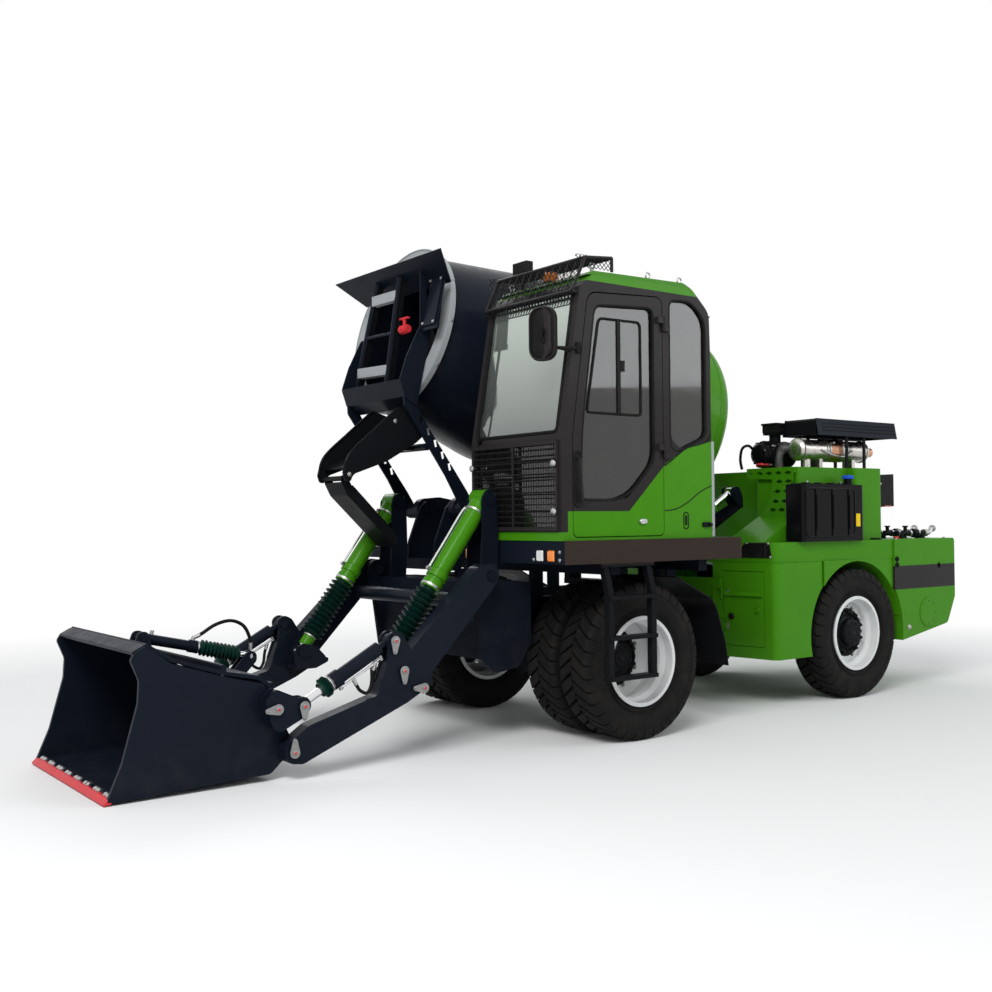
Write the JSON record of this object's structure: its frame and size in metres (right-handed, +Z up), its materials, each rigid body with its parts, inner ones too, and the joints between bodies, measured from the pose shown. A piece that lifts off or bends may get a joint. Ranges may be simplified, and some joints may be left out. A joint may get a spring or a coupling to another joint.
{
  "type": "self-loading concrete mixer",
  "caption": "Self-loading concrete mixer: an articulated wheeled carrier with a tilting mixing drum, side cab, loader bucket, discharge chute and rear engine.",
  "frame": {"origin": "centre of the footprint on the ground, under the middle of the whole machine", "axes": "+X forward towards the bucket, +Y to the driver's left, +Z up"},
  "size_m": [7.43, 2.675, 3.5123],
  "materials": {
    "green_paint": "gloss enamel with light dust",
    "slate_paint": "semi-gloss enamel, scuffed at the edges",
    "grey_paint": "satin warm grey enamel",
    "black_paint": "satin black enamel",
    "white_paint": "gloss white enamel",
    "red_paint": "gloss red enamel",
    "drum_paint": "gloss enamel in two colours with a grey mouth ring",
    "tank_black": "glossy black",
    "black_plastic": "grained black",
    "bellows_rubber": "matt dark green rubber",
    "tyre": "matt rubber with dust",
    "glass": "clear with a slight tint",
    "chrome": "polished chrome",
    "stainless": "heat-tinted stainless steel",
    "cast_iron": "rough casting"
  },
  "bodies": {
    "front_frame": {"front_chassis": "slate_paint", "front_axle": "slate_paint", "cab_platform": "grey_paint", "mudguards": "grey_paint", "cab_shell": "green_paint", "cab_frame": "grey_paint", "cab_glass": "glass", "cab_interior": "black_plastic"},
    "cab_door": {"cab_door": "grey_paint", "door_glass": "glass"},
    "rear_frame": {"rear_body": "green_paint", "rear_axle": "slate_paint", "counterweight": "green_paint", "engine_hood": "green_paint", "engine_block": "cast_iron", "hydraulic_tank": "tank_black", "exhaust_silencer": "stainless", "hood_fittings": "grey_paint"},
    "toolbox_door": {"toolbox_door": "green_paint"},
    "arms": {"loader_arms": "slate_paint"},
    "bucket": {"loader_bucket": "slate_paint", "cutting_edge": "red_paint"},
    "gate": {"bucket_gate": "slate_paint"},
    "lift_barrels": {"lift_barrels": "green_paint"},
    "lift_rods": {"lift_rods": "chrome", "lift_bellows": "bellows_rubber"},
    "tilt_barrels": {"tilt_barrels": "green_paint"},
    "tilt_rods": {"tilt_rods": "chrome"},
    "gate_barrel": {"gate_barrel": "green_paint"},
    "gate_rod": {"gate_rod": "chrome"},
    "cradle": {"drum_cradle": "slate_paint", "loading_hopper": "slate_paint"},
    "drum": {"mixing_drum": "drum_paint"},
    "chute": {"main_chute": "black_paint"},
    "chute_extension": {"chute_extension": "black_paint"},
    "drum_lift_barrel": {"drum_lift_barrel": "green_paint"},
    "drum_lift_rod": {"drum_lift_rod": "chrome"},
    "steer_barrel": {"steer_barrel": "green_paint"},
    "steer_rod": {"steer_rod": "chrome"},
    "front_left_wheel": {"front_left_tyres": "tyre", "front_left_rims": "white_paint"},
    "front_right_wheel": {"front_right_tyres": "tyre", "front_right_rims": "white_paint"},
    "rear_left_wheel": {"rear_left_tyre": "tyre", "rear_left_rim": "white_paint"},
    "rear_right_wheel": {"rear_right_tyre": "tyre", "rear_right_rim": "white_paint"}
  },
  "joints": [
    {"name": "rear_frame_steering", "type": "hinge", "parent": "front_frame", "child": "rear_frame", "pos_m": [-1.115, 0.0275, 0.8], "axis": [0, 0, 1], "range_deg": [-35, 35]},
    {"name": "steer_barrel_pivot", "type": "hinge", "parent": "rear_frame", "child": "steer_barrel", "pos_m": [-1.615, 0.2625, 0.79], "axis": [0, 0, 1], "range_deg": [-11.56, 11.56]},
    {"name": "steer_rod_slide", "type": "slide", "parent": "steer_barrel", "child": "steer_rod", "axis": [0.9975, 0.0702, 0], "range_m": [-0.1642, 0.1642]},
    {"name": "loader_arm_lift", "type": "hinge", "parent": "front_frame", "child": "arms", "pos_m": [1.265, 0.0275, 1.12], "axis": [0, -1, 0], "range_deg": [0, 58]},
    {"name": "lift_barrel_pivot", "type": "hinge", "parent": "front_frame", "child": "lift_barrels", "pos_m": [1.165, 0.0275, 1.62], "axis": [0, -1, 0], "range_deg": [0, 39.97]},
    {"name": "lift_rod_slide", "type": "slide", "parent": "lift_barrels", "child": "lift_rods", "axis": [0.5939, 0, -0.8046], "range_m": [-0.3344, 0], "deforming": ["lift_bellows"]},
    {"name": "bucket_tilt", "type": "hinge", "parent": "arms", "child": "bucket", "pos_m": [2.675, 0.0275, 0.17], "axis": [0, 1, 0], "range_deg": [-15, 60]},
    {"name": "tilt_barrel_pivot", "type": "hinge", "parent": "arms", "child": "tilt_barrels", "pos_m": [2.003, 0.0275, 0.756], "axis": [0, -1, 0], "range_deg": [-1.48, 5.01]},
    {"name": "tilt_rod_slide", "type": "slide", "parent": "tilt_barrels", "child": "tilt_rods", "axis": [0.878, 0, -0.4788], "range_m": [-0.0573, 0.2233]},
    {"name": "bucket_gate_swing", "type": "hinge", "parent": "bucket", "child": "gate", "pos_m": [2.71, 0.0275, 0.505], "axis": [0, 1, 0], "range_deg": [0, 60]},
    {"name": "gate_barrel_pivot", "type": "hinge", "parent": "bucket", "child": "gate_barrel", "pos_m": [3.275, 0.0275, 0.8], "axis": [0, -1, 0], "range_deg": [-2.8, 0]},
    {"name": "gate_rod_slide", "type": "slide", "parent": "gate_barrel", "child": "gate_rod", "axis": [-0.9749, 0, -0.2228], "range_m": [-0.1902, 0]},
    {"name": "drum_cradle_tilt", "type": "hinge", "parent": "front_frame", "child": "cradle", "pos_m": [0.805, -0.4525, 1.56], "axis": [0, 1, 0], "range_deg": [0, 8]},
    {"name": "drum_lift_barrel_pivot", "type": "hinge", "parent": "front_frame", "child": "drum_lift_barrel", "pos_m": [-0.845, 0.3275, 1.3], "axis": [0, -1, 0], "range_deg": [-18.8, 0]},
    {"name": "drum_lift_rod_slide", "type": "slide", "parent": "drum_lift_barrel", "child": "drum_lift_rod", "axis": [-0.8793, 0, 0.4763], "range_m": [0, 0.1648]},
    {"name": "drum_spin", "type": "hinge", "parent": "cradle", "child": "drum", "pos_m": [1.121, -0.4925, 2.895], "axis": [0.9744, 0, 0.225], "continuous": true},
    {"name": "chute_swing", "type": "hinge", "parent": "cradle", "child": "chute", "pos_m": [1.27, -0.2875, 2.04], "axis": [0, 0, 1], "range_deg": [-15, 15]},
    {"name": "chute_extension_fold", "type": "hinge", "parent": "chute", "child": "chute_extension", "pos_m": [1.795, -0.2875, 1.775], "axis": [0, -1, 0], "range_deg": [0, 105]},
    {"name": "cab_door_hinge", "type": "hinge", "parent": "front_frame", "child": "cab_door", "pos_m": [0.179, 1.3135, 2.3], "axis": [0, 0, 1], "range_deg": [0, 80]},
    {"name": "toolbox_door_hinge", "type": "hinge", "parent": "rear_frame", "child": "toolbox_door", "pos_m": [-1.24438, 0.5115, 0.76], "axis": [0, 0, -1], "range_deg": [0, 75]},
    {"name": "front_left_wheel_spin", "type": "hinge", "parent": "front_frame", "child": "front_left_wheel", "pos_m": [0.285, 0.8885, 0.527], "axis": [0, 1, 0], "continuous": true},
    {"name": "front_right_wheel_spin", "type": "hinge", "parent": "front_frame", "child": "front_right_wheel", "pos_m": [0.285, -0.8335, 0.527], "axis": [0, 1, 0], "continuous": true},
    {"name": "rear_left_wheel_spin", "type": "hinge", "parent": "rear_frame", "child": "rear_left_wheel", "pos_m": [-2.325, 0.8745, 0.527], "axis": [0, 1, 0], "continuous": true},
    {"name": "rear_right_wheel_spin", "type": "hinge", "parent": "rear_frame", "child": "rear_right_wheel", "pos_m": [-2.325, -0.8195, 0.527], "axis": [0, 1, 0], "continuous": true}
  ],
  "couplings": [
    {"joint": "steer_barrel_pivot", "follows": "rear_frame_steering", "ratio": -0.3216},
    {"joint": "steer_rod_slide", "follows": "rear_frame_steering", "m_per_rad": 0.26553},
    {"joint": "lift_barrel_pivot", "follows": "loader_arm_lift", "ratio": 0.68403},
    {"joint": "lift_rod_slide", "follows": "loader_arm_lift", "m_per_rad": -0.32833},
    {"joint": "tilt_barrel_pivot", "follows": "bucket_tilt", "ratio": 0.07845},
    {"joint": "tilt_rod_slide", "follows": "bucket_tilt", "m_per_rad": 0.21132},
    {"joint": "gate_barrel_pivot", "follows": "bucket_gate_swing", "ratio": -0.04163},
    {"joint": "gate_rod_slide", "follows": "bucket_gate_swing", "m_per_rad": -0.1797},
    {"joint": "drum_lift_barrel_pivot", "follows": "drum_cradle_tilt", "ratio": -2.3125},
    {"joint": "drum_lift_rod_slide", "follows": "drum_cradle_tilt", "m_per_rad": 1.1657}
  ]
}
